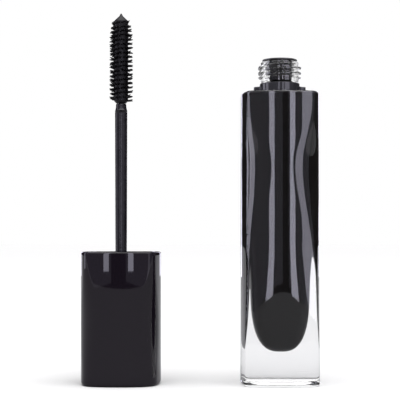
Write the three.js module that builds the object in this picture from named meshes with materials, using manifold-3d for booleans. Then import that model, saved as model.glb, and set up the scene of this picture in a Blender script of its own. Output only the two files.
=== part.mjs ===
// A mascara tube, open. The filled square bottle stands with its threaded neck up. The cap stands upside down
// beside it, with its wand and brush pointing up. Millimetres, +Z up. The origin is the centre of the bottle's
// base.
import * as THREE from 'three';
import { mergeVertices } from 'three/addons/utils/BufferGeometryUtils.js';
import Module from 'manifold-3d';

const wasm = await Module();
wasm.setup();

// Square section shared by the bottle and the cap: four slightly convex faces, and corners whose radius grows
// to a soft one where they are pinched in.
const FACE_BULGE = 28;            // radius of the convex faces
const BASE_BULGE = 50;            // the same at the bottle's base, where they are flatter
const BASE_BULGE_TOP = 38;        // height where the flatter part ends
const BOTTLE_CORNER_SOFT = 8.4;
const BOTTLE_CORNER_CRISP = 1.3;  // at the base
const CAP_CORNER_SOFT = 7;
const CAP_CORNER_END = 4.5;       // at the closed end
const CORNER_AT_JOINT = 2.6;
const PINCH_FROM_JOINT = 19;      // from the line where cap and bottle meet to the middle of each pinch
const PINCH_LENGTH = 17;          // from the middle of a pinch towards the joint
const BOTTLE_PINCH_TAIL = 30;     // from its middle towards the base
const CAP_PINCH_TAIL = 15.5;      // from its middle towards the closed end
const SOFT_EXPONENT = 2.7;        // n of the inner sections |x|^n + |y|^n = a^n

// Bottle
const BASE_WIDTH = 20.6;          // across the flats at the base
const DRAFT = 0.3;                // how much narrower the bottle is at its shoulder
const BOTTLE_HEIGHT = 75.8;       // base to shoulder
const SHOULDER_ROUND = 0.5;
const BASE_ROUND = 0.6;
const BASE_THICKNESS = 8.6;
const BASE_WALL = 3.4;            // of the bottle beside the bottom of the cavity
const WALL = 1.7;                 // higher up
const WALL_TAPER = 26;            // height over which the wall thins, from the top of the bowl up
const SHOULDER_THICKNESS = 0.7;
const CAVITY_TOP_ROUND = 0.6;
const BOWL_HEIGHT = 15.9;         // of the rounded bottom of the cavity
const BOWL_POWER = 2.8;           // its profile is x^p + z^p = 1

// Neck and thread
const NECK_WALL = 1.05;
const NECK_HEIGHT = 8.4;          // shoulder to rim
const THREAD_DEPTH = 0.7;
const THREAD_PITCH = 1.37;        // between neighbouring ridges
const THREAD_STARTS = 2;
const THREAD_RIDGE = 0.55;        // width of a ridge at its root
const THREAD_RUN_OUT = 0.12;      // part of a turn over which a ridge fades out at each end
const THREAD_START = 0.006;       // part of a turn by which the fade has begun at the very end
const THREAD_SINK = 0.2;          // how deep a ridge's root lies in its wall
const THREAD_STEPS = 28;          // facets per turn
const THREAD_SLACK = 0.171;       // how far the closed threads stay short of a whole lead of overlap
const NECK_THREAD_TOP = 7.6;      // above the shoulder
const NECK_THREAD_TURNS = 1.25;

// Collar at the foot of the neck, with two lugs that line the square cap up with the square bottle
const COLLAR_WALL = 0.6;
const COLLAR_HEIGHT = 2.6;
const LUG_RADIUS = 6.8;
const LUG_WIDTH = 1.5;
const LUG_HEIGHT = 1.9;

// Wiper
const WIPER_WALL = 0.35;
const WIPER_FLANGE = 0.5;
const WIPER_LENGTH = 11.5;        // flange to lip
const WIPER_CONE = 3;
const WIPER_FLANGE_INSET = 0.35;  // from the outside of the rim
const WIPER_CLEARANCE = 0.25;     // between the wiper's tube and the brush
const LIP_CLEARANCE = 0.15;       // around the thickest part of the stem

// Cap
const CAP_OVERHANG = 0.15;        // of each side of the cap over the bottle's base
const CAP_HEIGHT = 34.5;
const CAP_WALL = 1.3;
const CAP_END = 1.6;
const CAP_RIM_ROUND = 0.4;
const CAP_END_ROUND = 0.7;
const INNER_CAP_RECESS = 0.3;     // below the cap's rim
const INNER_CAP_WEB = 1.7;
const SKIRT_WALL = 1.95;
const MOUTH_PLATE = 1.2;
const RIB_WIDTH = 1;
const BOSS_RADIUS = 3.7;
const BOSS_LENGTH = 7.8;
const LINER_THICKNESS = 0.8;
const LINER_BORE = 2.6;
const LINER_INSET = 0.1;          // from the outside of the neck
const CAP_THREAD_TURNS = 1.1;

// Stem and brush
const STEM_RADIUS_AT_CAP = 1.48;
const STEM_RADIUS_AT_BRUSH = 1.62;
const STEM_TIP_RADIUS = 1.38;
const STEM_TIP_LENGTH = 0.8;
const STEM_STEP = 0.3;            // height of the cone between the head and the rod
const STEM_HEAD_RADIUS = 2.1;
const STEM_HEAD_LENGTH = 6;
const TIP_CLEARANCE = 4.7;        // from the brush's tip to the bottom of the cavity when closed
const SOCKET_RADIUS = 0.8;
const SOCKET_DEPTH = 10;
const BRUSH_RADIUS = 3.15;
const BRUSH_CORE_RADIUS = 1.55;
const BRUSH_LENGTH = 23.9;        // beyond the stem
const BRUSH_TIP = 2.4;            // height of the bare cone at the end
const BRUSH_TIP_RADIUS = 1.8;     // of its widest part
const BRUSH_TAPER = 4;            // length over which the rings grow to full size
const RING_PITCH = 1.15;
const RING_THICKNESS = 0.4;
const SHANK_LENGTH = 8;

const NECK_STEP = 0.3;            // height of the cone from the foot to the neck
const JOIN = 0.5;                 // how far shapes of one moulding reach into each other

// Fits
const SEAT_GAP = 0.2;             // between faces that rest on each other
const PRESS_GAP = 0.15;           // around a pressed-in piece
const THREAD_GAP = 0.3;           // between a crest and the root across from it
const PASTE_GAP = 0.3;            // between the paste and what it touches
const WAND_CHANNEL_GAP = 0.35;    // around the brush where it stirs the paste
const STANDING_GAP = 41.7;        // between the axes of the bottle and the standing cap

// Derived
const LEAD = THREAD_PITCH * THREAD_STARTS;
const BOTTLE_WIDTH = BASE_WIDTH - DRAFT;
const CAP_WIDTH = BASE_WIDTH + 2 * CAP_OVERHANG;
const CLOSED_HEIGHT = BOTTLE_HEIGHT + SEAT_GAP + CAP_HEIGHT;
const STEM_REACH = BOTTLE_HEIGHT + SEAT_GAP - BASE_THICKNESS - TIP_CLEARANCE - BRUSH_LENGTH;
const RIM_HEIGHT = BOTTLE_HEIGHT + NECK_HEIGHT;
const WIPER_BORE = BRUSH_RADIUS + WIPER_CLEARANCE;
const WIPER_RADIUS = WIPER_BORE + WIPER_WALL;
const NECK_BORE = WIPER_RADIUS + PRESS_GAP;
const NECK_RADIUS = NECK_BORE + NECK_WALL;
const WIPER_TOP = RIM_HEIGHT + SEAT_GAP + WIPER_FLANGE;
const FOOT_RADIUS = NECK_RADIUS + PRESS_GAP - COLLAR_WALL;
const COLLAR_BORE = FOOT_RADIUS + PRESS_GAP;
const LIP_RADIUS = STEM_RADIUS_AT_BRUSH + LIP_CLEARANCE;
const CAVITY_BASE_HALF = BASE_WIDTH / 2 - BASE_WALL;
const CAVITY_HALF = BOTTLE_WIDTH / 2 - WALL;
const CAVITY_TOP = BOTTLE_HEIGHT - SHOULDER_THICKNESS;
const HOLLOW_HALF = CAP_WIDTH / 2 - CAP_WALL;
const TIP_HEIGHT = CAP_HEIGHT + STEM_REACH + BRUSH_LENGTH;
const SEAT_HEIGHT = CLOSED_HEIGHT - WIPER_TOP - SEAT_GAP;
const WEB_TOP = SEAT_HEIGHT - LINER_THICKNESS - SEAT_GAP;
const WEB_BOTTOM = WEB_TOP - INNER_CAP_WEB;
const MOUTH_HEIGHT = CAP_HEIGHT - INNER_CAP_RECESS;
const CAP_THREAD_BORE = NECK_RADIUS + THREAD_DEPTH + THREAD_GAP;
const SKIRT_RADIUS = CAP_THREAD_BORE + SKIRT_WALL;
const NECK_THREAD_HIGH = BOTTLE_HEIGHT + NECK_THREAD_TOP;
const NECK_THREAD_LOW = NECK_THREAD_HIGH - LEAD * NECK_THREAD_TURNS;

const CLEAR_PLASTIC = new THREE.MeshStandardMaterial({
  color: 0xe9ecef, roughness: 0.05, metalness: 0, transparent: true, opacity: 0.35,
});
const PASTE = new THREE.MeshStandardMaterial({ color: 0x0b090b, roughness: 0.35, metalness: 0 });
const SOFT_PLASTIC = new THREE.MeshStandardMaterial({ color: 0x3a3a3c, roughness: 0.5, metalness: 0 });
const GLOSS_BLACK = new THREE.MeshStandardMaterial({ color: 0x09070a, roughness: 0.08, metalness: 0 });
const MATT_BLACK = new THREE.MeshStandardMaterial({ color: 0x1c1b1d, roughness: 0.55, metalness: 0 });
const FOAM = new THREE.MeshStandardMaterial({ color: 0xd8d6d0, roughness: 0.9, metalness: 0 });
const STEM_BLACK = new THREE.MeshStandardMaterial({ color: 0x232226, roughness: 0.3, metalness: 0 });
const ELASTOMER = new THREE.MeshStandardMaterial({ color: 0x1b1a1d, roughness: 0.6, metalness: 0 });

const ROUND_STEPS = 40;
const SQUARE_STEPS = 48;
const SOFT_STEPS = 32;
const FINE_STEPS = 24;
const BRUSH_STEPS = 20;
const CORNER_CROWDING = 0.6;      // how much the facets of a square section crowd towards its corners

/** Turns a closed geometry into a solid that can be joined and cut. */
function solidFrom(geometry) {
  geometry.deleteAttribute('normal');
  geometry.deleteAttribute('uv');
  const merged = mergeVertices(geometry, 1e-5);
  const corners = merged.index.array;
  const kept = [];
  for (let i = 0; i < corners.length; i += 3) {
    const [a, b, c] = [corners[i], corners[i + 1], corners[i + 2]];
    if (a !== b && b !== c && c !== a) kept.push(a, b, c);
  }
  return new wasm.Manifold(new wasm.Mesh({
    numProp: 3,
    vertProperties: Float32Array.from(merged.attributes.position.array),
    triVerts: Uint32Array.from(kept),
  }));
}

/** Turns a solid into a named mesh. */
function meshFrom(name, solid, material) {
  const { vertProperties, triVerts } = solid.getMesh();
  const geometry = new THREE.BufferGeometry();
  geometry.setAttribute('position', new THREE.BufferAttribute(Float32Array.from(vertProperties), 3));
  geometry.setIndex(new THREE.BufferAttribute(Uint32Array.from(triVerts), 1));
  geometry.computeVertexNormals();
  const mesh = new THREE.Mesh(geometry, material);
  mesh.name = name;
  return mesh;
}

/** A round solid from [radius, height] points up the outside, from the axis or closing on themselves. */
function turned(points, steps = ROUND_STEPS) {
  const geometry = new THREE.LatheGeometry(points.map(([r, z]) => new THREE.Vector2(r, z)), steps);
  geometry.rotateX(Math.PI / 2);
  return solidFrom(geometry);
}

/** A round tube between two radii and two heights. */
function ring(inner, outer, low, high, steps = ROUND_STEPS) {
  return turned([[inner, low], [outer, low], [outer, high], [inner, high], [inner, low]], steps);
}

/** A plain round bar. */
function rod(radius, low, high, steps = ROUND_STEPS) {
  return turned([[0, low], [radius, low], [radius, high], [0, high]], steps);
}

/** A lathed solid with reshaped sections: [half width, height] points, and the reach at (angle, half, z). */
function shaped(points, reachAt, steps) {
  const geometry = new THREE.LatheGeometry(points.map(([r, z]) => new THREE.Vector2(r, z)), steps);
  geometry.rotateX(Math.PI / 2);
  const position = geometry.attributes.position;
  for (let i = 0; i < position.count; i++) {
    const [x, y, z] = [position.getX(i), position.getY(i), position.getZ(i)];
    const even = Math.atan2(y, x);
    const angle = even + CORNER_CROWDING / 4 * Math.sin(4 * even);
    const reach = reachAt(angle, Math.hypot(x, y), z);
    position.setXY(i, reach * Math.cos(angle), reach * Math.sin(angle));
  }
  return solidFrom(geometry);
}

/** How far a square with convex faces of radius bulge and corners of radius corner reaches at an angle. */
function squareReach(angle, half, bulge, corner) {
  const eighth = Math.PI / 4;
  const p = Math.abs(((angle + eighth) % (2 * eighth) + 2 * eighth) % (2 * eighth) - eighth);
  const offset = bulge - half;
  const round = Math.min(corner, half * 0.98);
  const c = (Math.sqrt(2 * (bulge - round) ** 2 - offset ** 2) - offset) / 2;
  const face = Math.sqrt(bulge ** 2 - (offset * Math.sin(p)) ** 2) - offset * Math.cos(p);
  if (face * Math.sin(p) <= bulge * c / Math.hypot(c, c + offset)) return face;
  return Math.sqrt(round ** 2 - (c * (Math.cos(p) - Math.sin(p))) ** 2) + c * (Math.cos(p) + Math.sin(p));
}

/** The section of a pinched body, from the middle of its pinch and how far that reaches each way. */
function pinched({ middle, up, down, soft, crispUp, crispDown, bulgeAt }) {
  return (angle, half, z) => {
    const [length, crisp] = z > middle ? [up, crispUp] : [down, crispDown];
    const t = Math.min(Math.abs(z - middle) / length, 1);
    const corner = crisp + (soft - crisp) * Math.cos(t * Math.PI / 2) ** 2;
    return squareReach(angle, half, bulgeAt(z), corner);
  };
}

/** The soft section of cavities and inner pieces. */
function softReach(angle, half) {
  const n = SOFT_EXPONENT;
  return half * (Math.abs(Math.cos(angle)) ** n + Math.abs(Math.sin(angle)) ** n) ** (-1 / n);
}

/** An ease from 0 at low to 1 at high. */
function eased(x, low, high) {
  const t = Math.min(Math.max((x - low) / (high - low), 0), 1);
  return t * t * (3 - 2 * t);
}

/** Points of a quarter round from one angle to another about (r, z). */
function quarter(r, z, radius, from, to, steps = 2) {
  return Array.from({ length: steps + 1 }, (_, i) => {
    const angle = from + (to - from) * i / steps;
    return [r + radius * Math.cos(angle), z + radius * Math.sin(angle)];
  });
}

/** Heights between two ends, ends left out, for a wall whose section changes along it. */
function between(low, high, count) {
  return Array.from({ length: count }, (_, i) => low + (high - low) * (i + 1) / (count + 1));
}

/** A helical ridge: a long bar wrapped round a cylinder, narrower at its crest, sunk into the wall it is on. */
function threadRidge({ root, crest, low, turns, startAngle }) {
  const depth = Math.abs(crest - root);
  const outward = Math.sign(crest - root);
  const bar = new THREE.BoxGeometry(
    turns, depth + THREAD_SINK, THREAD_RIDGE, Math.ceil(turns * THREAD_STEPS), 1, 1,
  );
  const position = bar.attributes.position;
  for (let i = 0; i < position.count; i++) {
    const along = position.getX(i) + turns / 2;
    const atCrest = position.getY(i) > 0;
    const fromEnd = Math.min(along, turns - along) + THREAD_START;
    const runOut = Math.min(1, fromEnd / THREAD_RUN_OUT);
    const radius = atCrest ? root + outward * depth * runOut : root - outward * THREAD_SINK;
    const half = Math.sign(position.getZ(i)) * THREAD_RIDGE / 2 * (atCrest ? 0.5 : 1);
    const angle = startAngle + along * 2 * Math.PI;
    position.setXYZ(i, radius * Math.cos(angle), radius * Math.sin(angle), low + along * LEAD + half);
  }
  const solid = solidFrom(bar);
  return solid.volume() > 0 ? solid : solidFrom(flipped(bar));
}

/** The same geometry with its faces turned over. */
function flipped(geometry) {
  const copy = geometry.clone();
  const index = copy.index.array;
  for (let i = 0; i < index.length; i += 3) [index[i], index[i + 1]] = [index[i + 1], index[i]];
  return copy;
}

/** All starts of a thread, evenly spaced round the axis. */
function thread(ridge) {
  const starts = Array.from({ length: THREAD_STARTS }, (_, k) =>
    threadRidge({ ...ridge, startAngle: ridge.startAngle + k * 2 * Math.PI / THREAD_STARTS }));
  return starts.reduce((all, one) => all.add(one));
}

/** A box between two corners. */
function block(low, high) {
  const size = high.map((v, i) => v - low[i]);
  const geometry = new THREE.BoxGeometry(...size);
  geometry.translate(...low.map((v, i) => v + size[i] / 2));
  return solidFrom(geometry);
}

function makeBottle() {
  const [base, top] = [BASE_WIDTH / 2, BOTTLE_WIDTH / 2];
  const halfAt = (z) => base + (top - base) * z / BOTTLE_HEIGHT;
  const section = pinched({
    middle: BOTTLE_HEIGHT - PINCH_FROM_JOINT, up: PINCH_LENGTH, down: BOTTLE_PINCH_TAIL,
    soft: BOTTLE_CORNER_SOFT, crispUp: CORNER_AT_JOINT, crispDown: BOTTLE_CORNER_CRISP,
    bulgeAt: (z) => FACE_BULGE + (BASE_BULGE - FACE_BULGE) * (1 - eased(z, 0, BASE_BULGE_TOP)),
  });
  const body = shaped([
    [0, 0],
    ...quarter(base - BASE_ROUND, BASE_ROUND, BASE_ROUND, -Math.PI / 2, 0),
    ...between(BASE_ROUND, BOTTLE_HEIGHT - SHOULDER_ROUND, 15).map((z) => [halfAt(z), z]),
    ...quarter(top - SHOULDER_ROUND, BOTTLE_HEIGHT - SHOULDER_ROUND, SHOULDER_ROUND, 0, Math.PI / 2),
    [0, BOTTLE_HEIGHT],
  ], section, SQUARE_STEPS);
  const footTop = BOTTLE_HEIGHT + SEAT_GAP + COLLAR_HEIGHT + SEAT_GAP;
  const neck = turned([
    [NECK_BORE, CAVITY_TOP + JOIN],
    [FOOT_RADIUS, CAVITY_TOP + JOIN],
    [FOOT_RADIUS, footTop],
    [NECK_RADIUS, footTop + NECK_STEP],
    [NECK_RADIUS, RIM_HEIGHT],
    [NECK_BORE, RIM_HEIGHT],
    [NECK_BORE, CAVITY_TOP + JOIN],
  ]);
  const ridges = thread({
    root: NECK_RADIUS, crest: NECK_RADIUS + THREAD_DEPTH, low: NECK_THREAD_LOW,
    turns: NECK_THREAD_TURNS, startAngle: 0,
  });
  const bore = rod(NECK_BORE, CAVITY_TOP - JOIN, BOTTLE_HEIGHT + JOIN);
  return body.subtract(bore).add(neck).add(ridges).subtract(cavity(0));
}

function makeCollar() {
  const low = BOTTLE_HEIGHT + SEAT_GAP;
  const lugs = block([-LUG_RADIUS, -LUG_WIDTH / 2, low], [LUG_RADIUS, LUG_WIDTH / 2, low + LUG_HEIGHT]);
  const hole = rod(COLLAR_BORE, low - 1, low + COLLAR_HEIGHT + 1);
  return rod(COLLAR_BORE + COLLAR_WALL, low, low + COLLAR_HEIGHT).add(lugs).subtract(hole);
}

/** The space inside the bottle, or the paste that fills it when it keeps a gap to the walls. */
function cavity(gap) {
  const low = BASE_THICKNESS + gap;
  const high = CAVITY_TOP - gap;
  const bowlTop = low + BOWL_HEIGHT;
  const halfAt = (z) => CAVITY_BASE_HALF - gap
    + (CAVITY_HALF - CAVITY_BASE_HALF) * eased(z, bowlTop, bowlTop + WALL_TAPER);
  const bowl = Array.from({ length: 7 }, (_, i) => {
    const angle = (i + 1) * Math.PI / 14;
    return [
      halfAt(low) * Math.sin(angle) ** (2 / BOWL_POWER),
      low + BOWL_HEIGHT * (1 - Math.cos(angle) ** (2 / BOWL_POWER)),
    ];
  });
  return shaped([
    [0, low], ...bowl,
    ...between(bowlTop, bowlTop + WALL_TAPER, 4).map((z) => [halfAt(z), z]),
    [CAVITY_HALF - gap, bowlTop + WALL_TAPER],
    [CAVITY_HALF - gap, high - CAVITY_TOP_ROUND],
    [CAVITY_HALF - gap - CAVITY_TOP_ROUND, high],
    [0, high],
  ], softReach, SOFT_STEPS);
}

function makeFill() {
  const brushBottom = CLOSED_HEIGHT - TIP_HEIGHT;
  const wandChannel = rod(BRUSH_RADIUS + WAND_CHANNEL_GAP, brushBottom - 1, BOTTLE_HEIGHT, FINE_STEPS);
  const roomLow = WIPER_TOP - WIPER_LENGTH - PASTE_GAP;
  const wiperRoom = rod(WIPER_RADIUS + PASTE_GAP, roomLow, BOTTLE_HEIGHT, FINE_STEPS);
  return cavity(PASTE_GAP).subtract(wandChannel.add(wiperRoom));
}

function makeWiper() {
  const bottom = WIPER_TOP - WIPER_LENGTH;
  const flangeLow = WIPER_TOP - WIPER_FLANGE;
  const flange = NECK_RADIUS - WIPER_FLANGE_INSET;
  return turned([
    [LIP_RADIUS, bottom],
    [LIP_RADIUS + WIPER_WALL, bottom],
    [WIPER_RADIUS, bottom + WIPER_CONE],
    [WIPER_RADIUS, flangeLow],
    [flange, flangeLow],
    [flange, WIPER_TOP],
    [WIPER_BORE, WIPER_TOP],
    [WIPER_BORE, bottom + WIPER_CONE],
    [LIP_RADIUS, bottom],
  ], SOFT_STEPS);
}

function makeOvercap() {
  const half = CAP_WIDTH / 2;
  const section = pinched({
    middle: CAP_HEIGHT - PINCH_FROM_JOINT, up: PINCH_LENGTH, down: CAP_PINCH_TAIL,
    soft: CAP_CORNER_SOFT, crispUp: CORNER_AT_JOINT, crispDown: CAP_CORNER_END, bulgeAt: () => FACE_BULGE,
  });
  const body = shaped([
    [0, 0],
    ...quarter(half - CAP_END_ROUND, CAP_END_ROUND, CAP_END_ROUND, -Math.PI / 2, 0),
    ...between(CAP_END_ROUND, CAP_HEIGHT - CAP_RIM_ROUND, 9).map((z) => [half, z]),
    ...quarter(half - CAP_RIM_ROUND, CAP_HEIGHT - CAP_RIM_ROUND, CAP_RIM_ROUND, 0, Math.PI / 2),
    [0, CAP_HEIGHT],
  ], section, SQUARE_STEPS);
  return body.subtract(softBlock(HOLLOW_HALF, CAP_END, CAP_HEIGHT + 1));
}

/** A solid of the soft section between two heights. */
function softBlock(half, low, high) {
  return shaped([[0, low], [half, low], [half, high], [0, high]], softReach, SOFT_STEPS);
}

function makeInnerCap() {
  const half = HOLLOW_HALF - PRESS_GAP;
  const plateLow = MOUTH_HEIGHT - MOUTH_PLATE;
  const plate = softBlock(half, plateLow, MOUTH_HEIGHT);
  const skirt = rod(SKIRT_RADIUS, WEB_BOTTOM, plateLow + JOIN);
  const boss = rod(BOSS_RADIUS, WEB_BOTTOM - BOSS_LENGTH, WEB_BOTTOM + JOIN, FINE_STEPS);
  const rib = block([-half, -RIB_WIDTH / 2, WEB_BOTTOM], [half, RIB_WIDTH / 2, plateLow + JOIN]);
  const ribs = rib.add(rib.rotate([0, 0, 90]));
  const body = plate.add(skirt).add(boss).add(ribs);
  const lugRoomLow = MOUTH_HEIGHT - LUG_HEIGHT - 2 * SEAT_GAP;
  const counterbore = rod(LUG_RADIUS + THREAD_GAP, lugRoomLow, MOUTH_HEIGHT + 1);
  const threadBore = rod(CAP_THREAD_BORE, WEB_TOP, MOUTH_HEIGHT + 1);
  const socket = rod(STEM_HEAD_RADIUS + PRESS_GAP, WEB_BOTTOM - BOSS_LENGTH - 1, WEB_TOP + 1, FINE_STEPS);
  const open = body.subtract(counterbore).subtract(threadBore).subtract(socket);
  return open.add(capThread());
}

/** The cap's thread. With the cap turned over onto the neck, it lies half-way between the neck's ridges. */
function capThread() {
  const engaged = LEAD - THREAD_SLACK;
  const closedLow = NECK_THREAD_HIGH - engaged;
  const startZ = CLOSED_HEIGHT - closedLow - CAP_THREAD_TURNS * LEAD;
  const neckZero = NECK_THREAD_LOW + THREAD_PITCH / 2;
  const startAngle = Math.PI - (CLOSED_HEIGHT - startZ - neckZero) * 2 * Math.PI / LEAD;
  return thread({
    root: CAP_THREAD_BORE, crest: NECK_RADIUS + THREAD_GAP, low: startZ, turns: CAP_THREAD_TURNS, startAngle,
  });
}

function makeLiner() {
  const outer = NECK_RADIUS - LINER_INSET;
  return ring(LINER_BORE, outer, SEAT_HEIGHT - LINER_THICKNESS, SEAT_HEIGHT, SOFT_STEPS);
}

function makeStem() {
  const headHigh = WEB_TOP;
  const end = CAP_HEIGHT + STEM_REACH;
  return turned([
    [0, headHigh - STEM_HEAD_LENGTH],
    [STEM_HEAD_RADIUS, headHigh - STEM_HEAD_LENGTH],
    [STEM_HEAD_RADIUS, headHigh],
    [STEM_RADIUS_AT_CAP, headHigh + STEM_STEP],
    [STEM_RADIUS_AT_BRUSH, end - 2 * STEM_TIP_LENGTH],
    [STEM_TIP_RADIUS, end - STEM_TIP_LENGTH],
    [STEM_TIP_RADIUS, end],
    [SOCKET_RADIUS, end],
    [SOCKET_RADIUS, end - SOCKET_DEPTH],
    [0, end - SOCKET_DEPTH],
  ], FINE_STEPS);
}

/** The moulded brush. Each ring of bristles is one thin disc, sharp at its edge. */
function makeBrush() {
  const start = CAP_HEIGHT + STEM_REACH;
  const bottom = start + SEAT_GAP;
  const coneLow = TIP_HEIGHT - BRUSH_TIP;
  const shank = SOCKET_RADIUS - PRESS_GAP;
  const firstRing = bottom + RING_PITCH;
  const count = Math.floor((coneLow - firstRing) / RING_PITCH);
  const rings = Array.from({ length: count }, (_, i) => {
    const z = firstRing + i * RING_PITCH;
    const taper = Math.min(1, (TIP_HEIGHT - z) / (BRUSH_TAPER + BRUSH_TIP));
    const reach = BRUSH_CORE_RADIUS + (BRUSH_RADIUS - BRUSH_CORE_RADIUS) * Math.sin(taper * Math.PI / 2);
    return [[BRUSH_CORE_RADIUS, z], [reach, z + RING_THICKNESS / 2], [BRUSH_CORE_RADIUS, z + RING_THICKNESS]];
  });
  return turned([
    [0, start - SHANK_LENGTH], [shank, start - SHANK_LENGTH], [shank, bottom],
    [STEM_TIP_RADIUS, bottom], [BRUSH_CORE_RADIUS, bottom + RING_PITCH / 2],
    ...rings.flat(),
    [BRUSH_CORE_RADIUS, coneLow],
    [BRUSH_TIP_RADIUS, coneLow + BRUSH_TIP_RADIUS - BRUSH_CORE_RADIUS],
    [0, TIP_HEIGHT],
  ], BRUSH_STEPS);
}

const tube = new THREE.Group();
tube.add(
  meshFrom('bottle', makeBottle(), CLEAR_PLASTIC),
  meshFrom('mascara_fill', makeFill(), PASTE),
  meshFrom('wiper', makeWiper(), SOFT_PLASTIC),
  meshFrom('neck_collar', makeCollar(), MATT_BLACK),
);

const standingCap = new THREE.Group();
standingCap.position.set(-STANDING_GAP, 0, 0);
standingCap.add(
  meshFrom('overcap', makeOvercap(), GLOSS_BLACK),
  meshFrom('inner_cap', makeInnerCap(), MATT_BLACK),
  meshFrom('cap_liner', makeLiner(), FOAM),
  meshFrom('stem', makeStem(), STEM_BLACK),
  meshFrom('brush', makeBrush(), ELASTOMER),
);
tube.add(standingCap);

export default tube;
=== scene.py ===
"""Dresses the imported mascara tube: a clear square bottle of black paste, and its standing cap and wand."""

import logging
import math
from dataclasses import dataclass, field
from enum import Enum
from typing import Callable, NamedTuple, Sequence

import bpy
import numpy as np
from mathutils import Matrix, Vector


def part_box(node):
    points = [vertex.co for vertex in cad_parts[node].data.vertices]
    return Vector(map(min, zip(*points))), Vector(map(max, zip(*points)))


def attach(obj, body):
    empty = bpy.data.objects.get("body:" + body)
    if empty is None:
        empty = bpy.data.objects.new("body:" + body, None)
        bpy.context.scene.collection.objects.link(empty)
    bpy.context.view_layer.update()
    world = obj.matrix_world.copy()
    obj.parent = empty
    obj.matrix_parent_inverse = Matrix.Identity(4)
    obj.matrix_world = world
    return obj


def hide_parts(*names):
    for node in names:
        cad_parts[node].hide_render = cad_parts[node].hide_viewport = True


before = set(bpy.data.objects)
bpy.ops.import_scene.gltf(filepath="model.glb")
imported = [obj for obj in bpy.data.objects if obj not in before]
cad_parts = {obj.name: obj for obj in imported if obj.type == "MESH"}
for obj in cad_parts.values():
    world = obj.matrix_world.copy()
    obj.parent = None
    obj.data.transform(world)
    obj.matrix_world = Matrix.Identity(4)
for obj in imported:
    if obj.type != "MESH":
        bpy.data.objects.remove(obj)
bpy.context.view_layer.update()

LOG = logging.getLogger("mascara")
MM = 0.001
CROWDING = 0.15


class Body(Enum):
    """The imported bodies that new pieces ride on."""

    BOTTLE = "bottle_side"
    CAP = "cap"


class Around(Enum):
    """How many facets a surface has round its axis."""

    FINE = 256
    SMOOTH = 160
    SMALL = 64
    NEEDLE = 5


# ---------------------------------------------------------------- surfaces


class Extent(NamedTuple):
    """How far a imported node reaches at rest, in millimetres."""

    left: float
    right: float
    bottom: float
    top: float

    @property
    def half(self) -> float:
        """Half its width."""
        return (self.right - self.left) / 2

    @property
    def middle(self) -> float:
        """The x of its middle."""
        return (self.left + self.right) / 2


def extent(node: str) -> Extent:
    """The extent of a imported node, by its name."""
    low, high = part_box(node)
    return Extent(low[0] / MM, high[0] / MM, low[2] / MM, high[2] / MM)


def smooth_step(x: np.ndarray, low: float, high: float) -> np.ndarray:
    """A cubic ease from 0 at low to 1 at high.

    Args:
        x: Where to work it out.
        low: Where the ease starts.
        high: Where it ends.

    Returns:
        3t^2 - 2t^3, with t the share of the way from low to high.
    """
    t = np.clip((x - low) / (high - low), 0, 1)
    return t * t * (3 - 2 * t)


def window(x: np.ndarray, low: float, high: float, edge: float) -> np.ndarray:
    """A flat-topped bump between low and high, with eased edges of the given width."""
    return smooth_step(x, low, low + edge) * (1 - smooth_step(x, high - edge, high))


def arc(centre: tuple[float, float], radius: float, start: float, end: float, count: int) -> np.ndarray:
    """Points round part of a circle in the profile's plane.

    Args:
        centre: The circle's centre, as radius and height.
        radius: The circle's radius.
        start: The first angle in degrees, 0 pointing away from the axis.
        end: The last angle in degrees.
        count: How many points.

    Returns:
        The points, one row each: centre + radius * (cos a, sin a).
    """
    a = np.radians(np.linspace(start, end, count))
    return np.stack([centre[0] + radius * np.cos(a), centre[1] + radius * np.sin(a)], axis=1)


def line(start: tuple[float, float], end: tuple[float, float], step: float) -> np.ndarray:
    """Evenly spaced points from start to end, no further apart than step, with both ends."""
    length = math.dist(start, end)
    return np.linspace(start, end, max(2, int(math.ceil(length / step)) + 1))


def joined(*parts: np.ndarray) -> np.ndarray:
    """One profile from several stretches, with points that repeat left out."""
    points = np.concatenate([np.atleast_2d(p) for p in parts])
    keep = np.ones(len(points), bool)
    keep[1:] = np.linalg.norm(np.diff(points, axis=0), axis=1) > 1e-5
    return points[keep]


def superellipse(angle: np.ndarray, exponent: np.ndarray) -> np.ndarray:
    """How far a square-ish section reaches at an angle, per unit of its half width.

    Args:
        angle: The angle round the axis, in radians.
        exponent: n in |x|^n + |y|^n = 1, where 2 is a circle and more is squarer.

    Returns:
        (|cos|^n + |sin|^n)^(-1/n).
    """
    return (np.abs(np.cos(angle)) ** exponent + np.abs(np.sin(angle)) ** exponent) ** (-1 / exponent)


def make_mesh(name: str, points: np.ndarray, faces: Sequence[Sequence[int]]) -> bpy.types.Object:
    """A mesh object at the origin, shaded smooth.

    Args:
        name: The piece's name.
        points: Its vertices in millimetres.
        faces: Lists of vertex numbers.

    Returns:
        The new object, in the scene.
    """
    mesh = bpy.data.meshes.new(name)
    mesh.from_pydata((np.asarray(points) * MM).tolist(), [], faces)
    mesh.update()
    mesh.polygons.foreach_set("use_smooth", np.ones(len(mesh.polygons), bool))
    piece = bpy.data.objects.new(name, mesh)
    bpy.context.scene.collection.objects.link(piece)
    return piece


def grid_faces(rows: int, columns: int, closed_rows: bool = False) -> np.ndarray:
    """Quads of a grid that closes on itself along its columns.

    Args:
        rows: How many rows.
        columns: How many points in each row.
        closed_rows: Whether the last row joins the first.

    Returns:
        Vertex numbers, four to a face, facing out when rows run up the outside.
    """
    r = np.arange(rows if closed_rows else rows - 1)[:, None]
    c = np.arange(columns)[None]
    after_r, after_c = (r + 1) % rows, (c + 1) % columns
    low, high = r * columns, after_r * columns
    quads = np.stack([low + c, low + after_c, high + after_c, high + c])
    return quads.reshape(4, -1).T


Surface = tuple[np.ndarray, np.ndarray]
Shape = Callable[[np.ndarray, np.ndarray, np.ndarray], Surface]


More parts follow.
